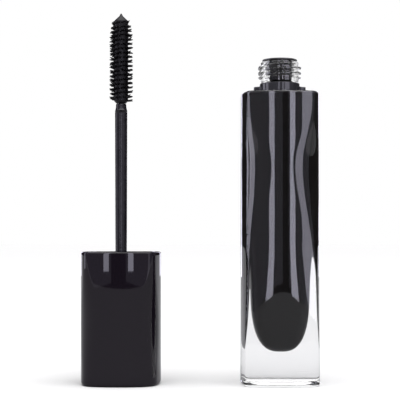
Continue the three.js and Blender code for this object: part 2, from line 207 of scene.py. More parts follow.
def revolve(
    name: str,
    profile: np.ndarray,
    around: int,
    centre: tuple[float, float],
    shape: Shape | None = None,
) -> bpy.types.Object:
    """Carries a profile round a vertical axis.

    The surface is (u, v) -> axis + R(u, v) * (cos w, sin w) at height Z(u, v), where w = u + CROWDING sin 4u
    crowds the facets towards the four corners. R and Z are the profile's radius and height at v, unless shape
    gives others. A profile end on the axis is closed by a fan about one point, and a profile whose ends meet
    closes on itself.

    Args:
        name: The piece's name.
        profile: Radius and height in millimetres, running up the outside.
        around: How many facets.
        centre: The axis, as x and y in millimetres.
        shape: Takes the angle, radius and height on the grid, and returns the radius and height.

    Returns:
        The new object.
    """
    loop = bool(np.linalg.norm(profile[0] - profile[-1]) < 1e-6)
    body = profile[:-1] if loop else profile
    first_pole, last_pole = (not loop and abs(body[0, 0]) < 1e-6), (not loop and abs(body[-1, 0]) < 1e-6)
    rows = body[int(first_pole):len(body) - int(last_pole)]
    turn = np.linspace(0, 2 * np.pi, around, endpoint=False)
    angle = (turn + CROWDING * np.sin(4 * turn))[None] + np.zeros((len(rows), 1))
    radius, height = rows[:, :1] + 0 * angle, rows[:, 1:] + 0 * angle
    if shape:
        radius, height = shape(angle, radius, height)
    x, y = centre[0] + radius * np.cos(angle), centre[1] + radius * np.sin(angle)
    points = np.stack([x, y, height], axis=2).reshape(-1, 3)
    faces = grid_faces(len(rows), around, loop).tolist()
    c = np.arange(around)
    after = (c + 1) % around
    if first_pole:
        faces += np.stack([np.full(around, len(points)), after, c], axis=1).tolist()
        points = np.vstack([points, [centre[0], centre[1], body[0, 1]]])
    if last_pole:
        last = (len(rows) - 1) * around
        faces += np.stack([np.full(around, len(points)), last + c, last + after], axis=1).tolist()
        points = np.vstack([points, [centre[0], centre[1], body[-1, 1]]])
    return make_mesh(name, points, faces)


@dataclass(frozen=True)
class SquareSection:
    """The tube's square section: four slightly convex faces, and corners whose radius grows round one height.

    Attributes:
        pinch: The height of the pinch's middle, in millimetres.
        above: How far the pinch reaches above its middle.
        below: How far it reaches below.
        bulge: The radius of the faces.
        crisp: The corner radius under the pinch.
        crisp_above: The corner radius over the pinch.
        soft: The corner radius at the pinch's middle.
        base_bulge: The radius of the faces near the base, where they are nearly flat.
        base_top: The height where the flatter part ends.
        roundest: The largest corner radius, as a share of the half width.
    """

    pinch: float
    above: float = 17.0
    below: float = 30.0
    bulge: float = 28.0
    crisp: float = 1.3
    crisp_above: float = 2.6
    soft: float = 8.4
    base_bulge: float = 28.0
    base_top: float = 25.0
    roundest: float = 0.98

    def corner(self, height: np.ndarray) -> np.ndarray:
        """The corner radius: crisp plus a cosine-squared bump of (soft - crisp), of own length each way."""
        over = height > self.pinch
        t = np.clip(np.abs(height - self.pinch) / np.where(over, self.above, self.below), 0, 1)
        least = np.where(over, self.crisp_above, self.crisp)
        return least + (self.soft - least) * np.cos(t * np.pi / 2) ** 2

    def face_radius(self, height: np.ndarray) -> np.ndarray:
        """The radius of the faces, which eases from base_bulge to bulge below base_top."""
        return self.bulge + (self.base_bulge - self.bulge) * (1 - smooth_step(height, 0, self.base_top))

    def reach(self, angle: np.ndarray, half: np.ndarray, height: np.ndarray) -> np.ndarray:
        """How far the section reaches at an angle.

        A face is an arc of radius R about (a - R, 0), where a is the half width. A corner is an arc of radius
        r about (c, c), with c set so that it runs into both faces. On the ray at angle p, in 0 to 45 degrees,
        the face lies at -d cos p + sqrt(R^2 - d^2 sin^2 p) with d = R - a, and the corner lies at
        c (cos p + sin p) + sqrt(r^2 - c^2 (cos p - sin p)^2).

        Args:
            angle: The angle round the axis, in radians.
            half: The half width.
            height: The height.

        Returns:
            The distance from the axis.
        """
        p = np.abs(np.mod(angle + np.pi / 4, np.pi / 2) - np.pi / 4)
        bulge = self.face_radius(height)
        corner = np.minimum(self.corner(height), self.roundest * half)
        d = bulge - half
        c = (np.sqrt(2 * (bulge - corner) ** 2 - d ** 2) - d) / 2
        face = np.sqrt(bulge ** 2 - (d * np.sin(p)) ** 2) - d * np.cos(p)
        inside = np.maximum(corner ** 2 - (c * (np.cos(p) - np.sin(p))) ** 2, 0)
        turn = np.sqrt(inside) + c * (np.cos(p) + np.sin(p))
        on_face = face * np.sin(p) <= bulge * c / np.hypot(c, c + d)
        return np.where(on_face, face, turn)


# ---------------------------------------------------------------- shader maths


class Value:
    """A shader socket that can be used in sums. Each operation adds a Math node to the tree."""

    def __init__(self, tree: bpy.types.NodeTree, socket: bpy.types.NodeSocket) -> None:
        """Wraps a socket of a tree."""
        self.tree, self.socket = tree, socket

    def _math(self, operation: str, *values: "Value | float") -> "Value":
        """Adds a Math node.

        Args:
            operation: Its operation.
            values: Its inputs.

        Returns:
            Its output.
        """
        made = self.tree.nodes.new("ShaderNodeMath")
        made.operation = operation
        for i, value in enumerate(values):
            if isinstance(value, Value):
                self.tree.links.new(value.socket, made.inputs[i])
            else:
                made.inputs[i].default_value = value
        return Value(self.tree, made.outputs[0])

    def __add__(self, other: "Value | float") -> "Value":
        """self + other."""
        return self._math("ADD", self, other)

    def __radd__(self, other: float) -> "Value":
        """other + self."""
        return self._math("ADD", other, self)

    def __sub__(self, other: "Value | float") -> "Value":
        """self - other."""
        return self._math("SUBTRACT", self, other)

    def __rsub__(self, other: float) -> "Value":
        """other - self."""
        return self._math("SUBTRACT", other, self)

    def __mul__(self, other: "Value | float") -> "Value":
        """self * other."""
        return self._math("MULTIPLY", self, other)

    def __rmul__(self, other: float) -> "Value":
        """other * self."""
        return self._math("MULTIPLY", other, self)

    def __pow__(self, other: "Value | float") -> "Value":
        """self to the power of other."""
        return self._math("POWER", self, other)

    def clamp(self) -> "Value":
        """self kept between 0 and 1."""
        return self._math("MINIMUM", self._math("MAXIMUM", self, 0.0), 1.0)


class Graph:
    """A material's node tree, with one way to add any node."""

    def __init__(self, name: str) -> None:
        """Starts an empty material with an output."""
        self.material = bpy.data.materials.new(name)
        self.material.use_nodes = True
        self.tree = self.material.node_tree
        self.tree.nodes.clear()
        self.output = self.tree.nodes.new("ShaderNodeOutputMaterial")

    def node(self, kind: str, settings: dict | None = None, **inputs: object) -> bpy.types.Node:
        """Adds a node.

        Args:
            kind: The node's type.
            settings: Its properties.
            inputs: Values or links by socket name, with _ for a space.

        Returns:
            The node.
        """
        made = self.tree.nodes.new(kind)
        for key, value in (settings or {}).items():
            setattr(made, key, value)
        for key, value in inputs.items():
            self.feed(made.inputs[key.replace("_", " ")], value)
        return made

    def feed(self, socket: bpy.types.NodeSocket, value: object) -> None:
        """Links or sets one input.

        Args:
            socket: The input.
            value: A Value, an output socket, or a plain value.
        """
        if isinstance(value, Value):
            self.tree.links.new(value.socket, socket)
        elif isinstance(value, bpy.types.NodeSocket):
            self.tree.links.new(value, socket)
        else:
            socket.default_value = value

    def place(self) -> bpy.types.NodeSocket:
        """The point on the object, in metres."""
        return self.node("ShaderNodeTexCoord").outputs["Object"]

    def noise(self, scale: float, detail: float = 3.0, stretch: tuple = (1, 1, 1)) -> Value:
        """Noise over the object.

        Args:
            scale: Features per metre.
            detail: How many octaves.
            stretch: How much the pattern is squeezed along each axis.

        Returns:
            The noise, about 0.5.
        """
        mapped = self.node("ShaderNodeMapping", Vector=self.place(), Scale=stretch)
        made = self.node("ShaderNodeTexNoise", Vector=mapped.outputs["Vector"], Scale=scale, Detail=detail)
        return Value(self.tree, made.outputs["Fac"])

    def mixed(self, low: object, high: object, share: Value) -> bpy.types.NodeSocket:
        """A colour between two, by a share."""
        made = self.node("ShaderNodeMix", {"data_type": "RGBA"})
        self.feed(made.inputs["Factor"], share)
        self.feed(made.inputs["A"], low)
        self.feed(made.inputs["B"], high)
        return made.outputs["Result"]

    def bump(self, height: Value, distance: float, strength: float = 1.0) -> bpy.types.NodeSocket:
        """The normal of a surface raised by height times distance, in metres."""
        made = self.node("ShaderNodeBump", Height=height, Distance=distance, Strength=strength)
        return made.outputs["Normal"]

    def surface(self, **inputs: object) -> bpy.types.Material:
        """Ends the tree with a Principled surface.

        Args:
            inputs: Its values and links by socket name, with _ for a space.

        Returns:
            The finished material.
        """
        shader = self.node("ShaderNodeBsdfPrincipled", **inputs)
        self.tree.links.new(shader.outputs[0], self.output.inputs["Surface"])
        return self.material


# ---------------------------------------------------------------- finishes


@dataclass(frozen=True)
class ClearPlastic:
    """Thick clear moulded plastic with a trace of flow lines."""

    tint: tuple = (0.985, 0.988, 0.992, 1)
    ior: float = 1.49

    def material(self) -> bpy.types.Material:
        """Builds the material."""
        g = Graph("clear_plastic")
        flow = g.noise(60, 1, (1, 1, 0.15))
        return g.surface(
            Base_Color=self.tint, Roughness=0.006 + 0.01 * flow, IOR=self.ior, Transmission_Weight=1.0,
            Normal=g.bump(flow, 0.00001, 0.15),
        )


@dataclass(frozen=True)
class GlossPlastic:
    """Deep gloss black moulded plastic, with a faint ripple and fine dust in the sheen."""

    name: str = "cap_gloss"
    colour: tuple = (0.0035, 0.0025, 0.004, 1)
    roughness: float = 0.015
    ior: float = 1.38

    def material(self) -> bpy.types.Material:
        """Builds the material."""
        g = Graph(self.name)
        ripple, dust = g.noise(90, 2), g.noise(2600, 4)
        return g.surface(
            Base_Color=g.mixed(self.colour, tuple(2.2 * c for c in self.colour[:3]) + (1,), dust),
            Roughness=self.roughness + 0.06 * (dust ** 4),
            IOR=self.ior,
            Normal=g.bump(ripple, 0.00002, 0.1),
        )


@dataclass(frozen=True)
class SatinPlastic:
    """Black moulded plastic with a fine spark-eroded grain."""

    name: str
    colour: tuple = (0.016, 0.015, 0.017, 1)
    roughness: float = 0.38
    grain: float = 6000.0

    def material(self) -> bpy.types.Material:
        """Builds the material."""
        g = Graph(self.name)
        fine, broad = g.noise(self.grain, 3), g.noise(300, 2)
        return g.surface(
            Base_Color=g.mixed(self.colour, tuple(1.8 * c for c in self.colour[:3]) + (1,), broad),
            Roughness=self.roughness + 0.15 * (fine - 0.5),
            Normal=g.bump(fine, 0.00002, 0.4),
        )


@dataclass(frozen=True)
class PasteFilm:
    """A stem or bristle with a film of paste, streaked along its length."""

    name: str
    colour: tuple = (0.022, 0.021, 0.026, 1)
    film: tuple = (0.006, 0.005, 0.007, 1)
    roughness: float = 0.3
    sheen: float = 0.5

    def material(self) -> bpy.types.Material:
        """Builds the material."""
        g = Graph(self.name)
        streak, blot = g.noise(900, 3, (1, 1, 0.12)), g.noise(420, 3)
        share = ((streak * blot) * 4.0 - 0.55).clamp()
        return g.surface(
            Base_Color=g.mixed(self.colour, self.film, share),
            Roughness=self.roughness + 0.16 * (1 - share) * streak, Specular_IOR_Level=self.sheen,
            Normal=g.bump(streak, 0.00004, 0.35),
        )


@dataclass(frozen=True)
class Paste:
    """Thick black paste, wetted to the wall in front of it."""

    colour: tuple = (0.0012, 0.0008, 0.001, 1)

    def material(self) -> bpy.types.Material:
        """Builds the material."""
        g = Graph("paste")
        swirl, fine = g.noise(260, 4), g.noise(1500, 3)
        return g.surface(
            Base_Color=g.mixed(self.colour, (0.003, 0.0022, 0.0026, 1), fine),
            Roughness=0.3 + 0.06 * swirl, Specular_IOR_Level=0.06,
            Normal=g.bump(swirl, 0.00001, 0.03),
        )


@dataclass(frozen=True)
class Foam:
    """Pale closed-cell foam of the seal."""

    colour: tuple = (0.62, 0.61, 0.58, 1)

    def material(self) -> bpy.types.Material:
        """Builds the material."""
        g = Graph("foam")
        cells = g.noise(5200, 4)
        return g.surface(
            Base_Color=g.mixed(tuple(0.8 * c for c in self.colour[:3]) + (1,), self.colour, cells),
            Roughness=0.75 + 0.2 * cells,
            Normal=g.bump(cells, 0.00005, 0.6),
        )


@dataclass(frozen=True)
class TableTop:
    """Plain pale sheet that the object stands on, toned down where the gloss pieces mirror it."""

    colour: tuple = (0.93, 0.93, 0.935, 1)
    in_reflections: tuple = (0.46, 0.46, 0.48, 1)
    clear_share: float = 0.6

    def material(self) -> bpy.types.Material:
        """Builds the material."""
        g = Graph("table_top")
        grain = g.noise(900, 3)
        path = g.node("ShaderNodeLightPath").outputs
        through = Value(g.tree, path["Is Transmission Ray"])
        mirrored = Value(g.tree, path["Is Glossy Ray"]) * (1 - self.clear_share * through)
        sheet = g.mixed(tuple(0.99 * c for c in self.colour[:3]) + (1,), self.colour, grain)
        return g.surface(
            Base_Color=g.mixed(sheet, self.in_reflections, mirrored),
            Roughness=0.6 + 0.1 * grain, Specular_IOR_Level=0.1,
        )


def dress(piece: bpy.types.Object, material: bpy.types.Material) -> bpy.types.Object:
    """Gives a piece its one material."""
    piece.data.materials.clear()
    piece.data.materials.append(material)
    return piece


def enlist(piece: bpy.types.Object, body: Body, slot: str, *nodes: str) -> bpy.types.Object:
    """Tells the frame what a piece rides on and which nodes it stands for.

    Args:
        piece: The finished piece.
        body: The body it moves with.
        slot: Not used.
        nodes: The CAD nodes it replaces.

    Returns:
        The same piece.
    """
    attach(piece, body.value)
    if nodes:
        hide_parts(*nodes)
    LOG.info("%s rides on %s: %d faces", piece.name, body.value, len(piece.data.polygons))
    return piece


# ---------------------------------------------------------------- bottle side


@dataclass
class Bottle:
    """The clear bottle, its paste, wiper and collar. Sizes are in millimetres."""

    base_thickness: float = 8.6
    shoulder_round: float = 0.45
    shoulder_thickness: float = 0.3
    base_round: float = 0.7
    draft: float = 0.15
    shoulder: float = 75.8
    neck_radius: float = 4.95
    bore: float = 3.9
    foot_radius: float = 4.5
    collar_height: float = 2.6
    thread_depth: float = 0.7
    thread_pitch: float = 1.37
    thread_turns: float = 1.25
    thread_top: float = 7.6
    cavity_base_half: float = 6.9
    cavity_half: float = 8.45
    taper: float = 26.0
    bowl_height: float = 15.9
    bowl_power: float = 2.8
    cavity_power: float = 3.0
    cavity_round: float = 0.6
    paste_channel: float = 3.5
    wiper_room: float = 4.1
    wet_depth: float = 0.06
    wiper_tube: float = 3.84
    wiper_wall: float = 0.37
    wiper_press: float = 0.08
    lip: float = 1.77
    collar_wall: float = 0.28
    lug_height: float = 1.9
    section: SquareSection = field(
        default_factory=lambda: SquareSection(pinch=56.8, base_bulge=50.0, base_top=38.0)
    )

    def __post_init__(self) -> None:
        """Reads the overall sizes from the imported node."""
        box = extent("bottle")
        self.half, self.rim = box.right, box.top
        self.top_half = self.half - self.draft

    def half_at(self, height: np.ndarray) -> np.ndarray:
        """The outside half width, which falls evenly from base to shoulder."""
        return self.half + (self.top_half - self.half) * height / self.shoulder

    def cavity_profile(self, gap: float) -> np.ndarray:
        """The cavity's profile from its bottom centre to its top, a distance in from the wall.

        Args:
            gap: How far inside the wall.

        Returns:
            Half widths and heights: a bowl x^p + y^p = 1, then a straight wall, then a small round.
        """
        low, high = self.base_thickness + gap, self.shoulder - self.shoulder_thickness - gap
        base_half, half = self.cavity_base_half - gap, self.cavity_half - gap
        bowl_top, r = low + self.bowl_height, self.cavity_round
        a, p = np.radians(np.linspace(0, 90, 40)), 2 / self.bowl_power
        bowl = np.stack([base_half * np.sin(a) ** p, low + self.bowl_height * (1 - np.cos(a) ** p)], axis=1)
        heights = np.linspace(bowl_top, high - r, 44)
        widening = smooth_step(heights, bowl_top, bowl_top + self.taper)
        wall = np.stack([base_half + (half - base_half) * widening, heights], axis=1)
        return joined(bowl, wall, arc((half - r, high - r), r, 0, 90, 6))

    def section_reach(
        self, angle: np.ndarray, radius: np.ndarray, height: np.ndarray, outside: np.ndarray,
    ) -> np.ndarray:
        """The reach over the whole profile: square outside, soft in the cavity, round near and in the neck.

        Args:
            angle: The angle round the axis.
            radius: The profile's radius.
            height: The profile's height.
            outside: Whether a row is outside.

        Returns:
            The distance from the axis.
        """
        square = self.section.reach(angle, radius, height)
        soft = radius * superellipse(angle, self.cavity_power)
        whole = np.where(outside, square, soft)
        share = np.where(height < self.shoulder - 2.5, 1, smooth_step(radius, 5.2, 8.0))
        return radius + (whole - radius) * share

    def shape(self, outside_rows: int) -> Shape:
        """The bottle's surface: the square section, and the thread raised on the neck.

        A ridge's height is a rounded trapezoid of the phase (z / pitch - starts * angle / turn), faded in and
        out where the thread runs in and runs out.

        Args:
            outside_rows: How many rows of the profile are outside.

        Returns:
            The function that revolve() calls.
        """
        def shaped(angle: np.ndarray, radius: np.ndarray, height: np.ndarray) -> Surface:
            """Squares the body off and raises the thread."""
            outside = (np.arange(len(radius)) < outside_rows)[:, None]
            reach = self.section_reach(angle, radius, height, outside)
            lead = 2 * self.thread_pitch
            top = self.shoulder + self.thread_top
            low = top - lead * self.thread_turns
            phase = (height - low) / self.thread_pitch - angle / np.pi
            crest = 0.5 + 0.5 * np.cos(2 * np.pi * (phase - np.round(phase)))
            ridge = smooth_step(crest, 0.25, 0.85)
            run = window(height, low - 0.35, top + 0.35, 0.55)
            on_neck = outside & (radius > self.neck_radius - 0.01) & (radius < self.neck_radius + 0.01)
            on_neck = on_neck & (height > self.shoulder + self.collar_height)
            return reach + np.where(on_neck, self.thread_depth * ridge * run, 0), height
        return shaped

    def build(self) -> list[bpy.types.Object]:
        """Makes the pieces.

        Returns:
            The bottle, paste, wiper and collar.
        """
        return [self.shell(), self.paste(), self.wiper(), self.collar()]

    def shell(self) -> bpy.types.Object:
        """The clear moulding as one closed surface: up the outside, down the bore and round the cavity.

        Returns:
            The finished piece.
        """
        s, foot, top_round = self.shoulder, self.foot_radius, self.top_half - self.shoulder_round
        neck_low = s + self.collar_height + 0.6
        heights = np.arange(self.base_round, s - self.shoulder_round, 0.75)
        wall = np.stack([self.half_at(heights), heights], axis=1)
        outer = joined(
            (0, 0.25), (self.half - 3.2, 0.25), (self.half - 2.6, 0.0), (self.half - self.base_round, 0),
            arc((self.half - self.base_round, self.base_round), self.base_round, -90, 0, 7),
            wall,
            arc((top_round, s - self.shoulder_round), self.shoulder_round, 0, 90, 9),
            line((top_round - 0.01, s), (foot + 0.15, s), 0.5),
            (foot, s + 0.15), (foot, neck_low - 0.15), (self.neck_radius, neck_low + 0.1),
            line((self.neck_radius, neck_low + 0.2), (self.neck_radius, self.rim - 0.25), 0.07),
            arc((self.neck_radius - 0.25, self.rim - 0.25), 0.25, 10, 90, 5),
        )
        inner = joined(
            (self.bore + 0.1, self.rim), (self.bore, self.rim - 0.1),
            (self.bore, s - 0.8), (self.bore + 0.3, s - self.shoulder_thickness),
            self.cavity_profile(0)[::-1],
        )
        profile, shape = joined(outer, inner), self.shape(len(outer))
        piece = revolve("bottle_shell", profile, Around.FINE.value, (0, 0), shape)
        dress(piece, ClearPlastic().material())
        return enlist(piece, Body.BOTTLE, "clear_plastic", "bottle")

    def paste(self) -> bpy.types.Object:
        """The paste, wetted to the cavity's wall, with the channel that the wand stirs.

        Returns:
            The finished piece.
        """
        channel, room = self.paste_channel, self.wiper_room
        floor = extent("mascara_fill").bottom + 3.4
        high = self.shoulder - self.shoulder_thickness + 0.02
        wall = self.cavity_profile(-self.wet_depth)
        profile = joined(
            wall, (room, high), (room, 73.1), (channel, 72.9), line((channel, 72.8), (channel, floor + 1), 4),
            arc((channel - 1, floor + 1), 1, 0, -90, 5), (0, floor),
        )

        def shaped(angle: np.ndarray, radius: np.ndarray, height: np.ndarray) -> Surface:
            """Soft-square outside, and round in the channel."""
            under_round = (np.arange(len(radius)) < len(wall) - 6)[:, None]
            share = np.where(under_round, 1, smooth_step(radius, 5.2, 6.4))
            return radius * (1 + (superellipse(angle, self.cavity_power) - 1) * share), height

        piece = revolve("mascara_paste", profile, Around.SMOOTH.value, (0, 0), shaped)
        dress(piece, Paste().material())
        return enlist(piece, Body.BOTTLE, "paste", "mascara_fill")

    def wiper(self) -> bpy.types.Object:
        """The soft wiper: a flange on the rim, a thin tube down the neck and a cone that ends in the lip.

        The tube touches the bore at front and back, where |sin a| is high, and stands just clear of it at the
        sides.

        Returns:
            The finished piece.
        """
        _, reach, bottom, top = extent("wiper")
        tube, wall, lip = self.wiper_tube, self.wiper_wall, self.lip
        profile = joined(
            (lip, bottom + 0.1), arc((lip + 0.15, bottom + 0.12), 0.15, 200, 300, 5),
            (lip + wall, bottom + 0.05), (tube - 0.1, bottom + 2.9), (tube, bottom + 3.1), (tube, top - 0.55),
            (reach - 0.1, top - 0.5), arc((reach - 0.2, top - 0.2), 0.2, 0, 90, 6),
            arc((tube - wall + 0.15, top - 0.15), 0.15, 90, 180, 5),
            (tube - wall, bottom + 3.2), (lip, bottom + 0.35), (lip, bottom + 0.1),
        )

        def shaped(angle: np.ndarray, radius: np.ndarray, height: np.ndarray) -> Surface:
            """Presses the tube onto the bore at front and back."""
            touch = smooth_step(np.abs(np.sin(angle)), 0.7, 0.76)
            return radius + np.where(np.abs(radius - tube) < 0.01, self.wiper_press * touch, 0), height

        piece = revolve("neck_wiper", profile, Around.SMOOTH.value, (0, 0), shaped)
        dress(piece, GlossPlastic("wiper_plastic", (0.006, 0.0055, 0.0065, 1), 0.12, 1.6).material())
        return enlist(piece, Body.BOTTLE, "wiper_plastic", "wiper")

    def collar(self) -> bpy.types.Object:
        """The black collar with its two lugs, pushed out of the ring where the angle is near the X axis.

        A lug is a window of the height and of the distance |y| from the X axis. Inside it the radius grows
        from the ring's to the lug's reach.

        Returns:
            The finished piece.
        """
        _, reach, bottom, top = extent("neck_collar")
        bore, outer = self.foot_radius + 0.1, self.neck_radius + self.collar_wall
        lug_top = bottom + self.lug_height
        profile = joined(
            (bore, bottom), line((bore + 0.1, bottom), (outer, bottom), 0.1),
            line((outer, bottom + 0.02), (outer, lug_top + 0.1), 0.08),
            (outer, top - 0.15), arc((outer - 0.15, top - 0.15), 0.15, 10, 90, 4),
            (bore, top), (bore, bottom),
        )

        def shaped(angle: np.ndarray, radius: np.ndarray, height: np.ndarray) -> Surface:
            """Pushes the two lugs out."""
            half = np.minimum(1.0, 0.75 / np.maximum(np.abs(np.sin(angle)), 1e-6) / reach)
            side = 1 - smooth_step(np.abs(np.sin(angle)) * (outer + 0.8), 0.62, 0.8)
            tall = 1 - smooth_step(height, lug_top - 0.2, lug_top)
            on_side = radius > outer - 0.02
            return radius + np.where(on_side, (reach - outer) * side * tall * half, 0), height

        piece = revolve("neck_collar_ring", profile, Around.FINE.value, (0, 0), shaped)
        dress(piece, GlossPlastic("collar_plastic", (0.01, 0.01, 0.011, 1), 0.12).material())
        return enlist(piece, Body.BOTTLE, "collar_plastic", "neck_collar")


# ---------------------------------------------------------------- cap side


@dataclass
class Cap:
    """The square overcap with its threaded insert and seal, standing on its closed end, in millimetres."""

    wall: float = 1.3
    end: float = 1.6
    rim_round: float = 0.45
    end_round: float = 0.9
    thread_pitch: float = 1.37
    neck_thread_low: float = 79.975
    closed_height: float = 110.5
    hollow_power: float = 2.7
    web_top: float = 24.4
    web_low: float = 22.7
    skirt: float = 7.9
    boss: float = 3.7
    socket: float = 2.15
    bore: float = 5.95
    mouth: float = 7.1
    plate: float = 1.2
    ridge: float = 0.6
    seal_bore: float = 2.6
    seal_round: float = 0.2

    def __post_init__(self) -> None:
        """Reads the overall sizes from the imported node."""
        box = extent("overcap")
        self.centre, self.half, self.height = (box.middle, 0.0), box.half, box.top
        self.section = SquareSection(pinch=self.height - 19, below=15.5, soft=7.0, crisp=4.5)

    def build(self) -> list[bpy.types.Object]:
        """Makes the pieces.

        Returns:
            The overcap, insert and seal.
        """
        return [self.shell(), self.insert(), self.seal()]

    def shell(self) -> bpy.types.Object:
        """The overcap as one closed surface: the square section outside, the soft section in the hollow.

        Returns:
            The finished piece.
        """
        h, half, r, e = self.height, self.half, self.rim_round, self.end_round
        hollow = half - self.wall
        outer = joined(
            (0, 0.2), (half - 3.4, 0.2), (half - 2.9, 0), (half - e, 0), arc((half - e, e), e, -90, 0, 8),
            line((half, e), (half, h - r), 0.6), arc((half - r, h - r), r, 0, 90, 7),
        )
        inner = joined(
            arc((hollow + 0.25, h - 0.25), 0.25, 90, 180, 4),
            line((hollow, h - 0.3), (hollow, self.end + 1), 2.0),
            arc((hollow - 1, self.end + 1), 1, 0, -90, 6), (0, self.end),
        )
        rows = len(outer)

        def shaped(angle: np.ndarray, radius: np.ndarray, height: np.ndarray) -> Surface:
            """Square outside and soft inside."""
            outside = (np.arange(len(radius)) < rows - 2)[:, None]
            blend = (np.arange(len(radius)) < rows + 2)[:, None]
            square = self.section.reach(angle, radius, height)
            soft = radius * superellipse(angle, self.hollow_power)
            return np.where(outside, square, np.where(blend, (square + soft) / 2, soft)), height

        piece = revolve("overcap_shell", joined(outer, inner), Around.FINE.value, self.centre, shaped)
        dress(piece, GlossPlastic().material())
        return enlist(piece, Body.CAP, "cap_gloss", "overcap")

    def insert(self) -> bpy.types.Object:
        """The threaded insert: plate, bored skirt with its thread, web and the boss that grips the stem.

        When the tube is closed, its ridges lie half a pitch from the neck's.

        Returns:
            The finished piece.
        """
        box = extent("inner_cap")
        bottom, top, half = box.bottom, box.top, box.half
        web_top, web_low, plate_low = self.web_top, self.web_low, box.top - self.plate
        skirt, boss, socket, bore, mouth = self.skirt, self.boss, self.socket, self.bore, self.mouth
        profile = joined(
            (socket, bottom + 0.2), (socket + 0.2, bottom), (boss - 0.2, bottom), (boss, bottom + 0.2),
            (boss, web_low - 0.3), (boss + 0.3, web_low), (skirt - 0.3, web_low), (skirt, web_low + 0.3),
            (skirt, plate_low - 0.1), (skirt + 0.1, plate_low), (half, plate_low), (half, top - 0.15),
            (half - 0.15, top), (mouth + 0.2, top), (mouth, top - 0.2), (mouth, top - 2.3),
            (bore + 0.15, top - 2.3), line((bore, top - 2.45), (bore, web_top + 0.1), 0.07),
            (bore - 0.1, web_top), (socket + 0.2, web_top), (socket, web_top - 0.2),
            line((socket, web_top - 0.3), (socket, bottom + 0.2), 2.0),
        )
        thread_low = self.closed_height - self.neck_thread_low - 3.5 * self.thread_pitch
        lead = 2 * self.thread_pitch

        def shaped(angle: np.ndarray, radius: np.ndarray, height: np.ndarray) -> Surface:
            """Squares the plate's edge off, and raises the thread inwards in the bore."""
            rows = np.arange(len(radius))[:, None]
            n = 2 + (self.hollow_power - 2) * smooth_step(radius, skirt, half)
            phase = (height - thread_low) / self.thread_pitch - angle / np.pi
            crest = 0.5 + 0.5 * np.cos(2 * np.pi * (phase - np.round(phase)))
            run = window(height, thread_low, thread_low + 1.2 * lead, 0.5)
            in_bore = (np.abs(radius - bore) < 0.01) & (rows > 10)
            inward = self.ridge * smooth_step(crest, 0.3, 0.85) * run
            return radius * superellipse(angle, n) - np.where(in_bore, inward, 0), height

        piece = revolve("inner_cap_insert", profile, Around.SMOOTH.value, self.centre, shaped)
        dress(piece, SatinPlastic("inner_cap_plastic", (0.012, 0.012, 0.013, 1), 0.42).material())
        return enlist(piece, Body.CAP, "inner_cap_plastic", "inner_cap")

    def seal(self) -> bpy.types.Object:
        """The soft seal washer with rounded edges.

        Returns:
            The finished piece.
        """
        box, r = extent("cap_liner"), self.seal_round
        low, high, inner, outer = box.bottom + r, box.top - r, self.seal_bore + r, box.half - r
        profile = joined(
            arc((inner, low), r, 180, 270, 4), arc((outer, low), r, -90, 0, 4),
            arc((outer, high), r, 0, 90, 4), arc((inner, high), r, 90, 180, 4), (inner - r, low),
        )
        piece = revolve("cap_seal", profile, Around.SMALL.value, self.centre)
        dress(piece, Foam().material())
        return enlist(piece, Body.CAP, "liner_foam", "cap_liner")


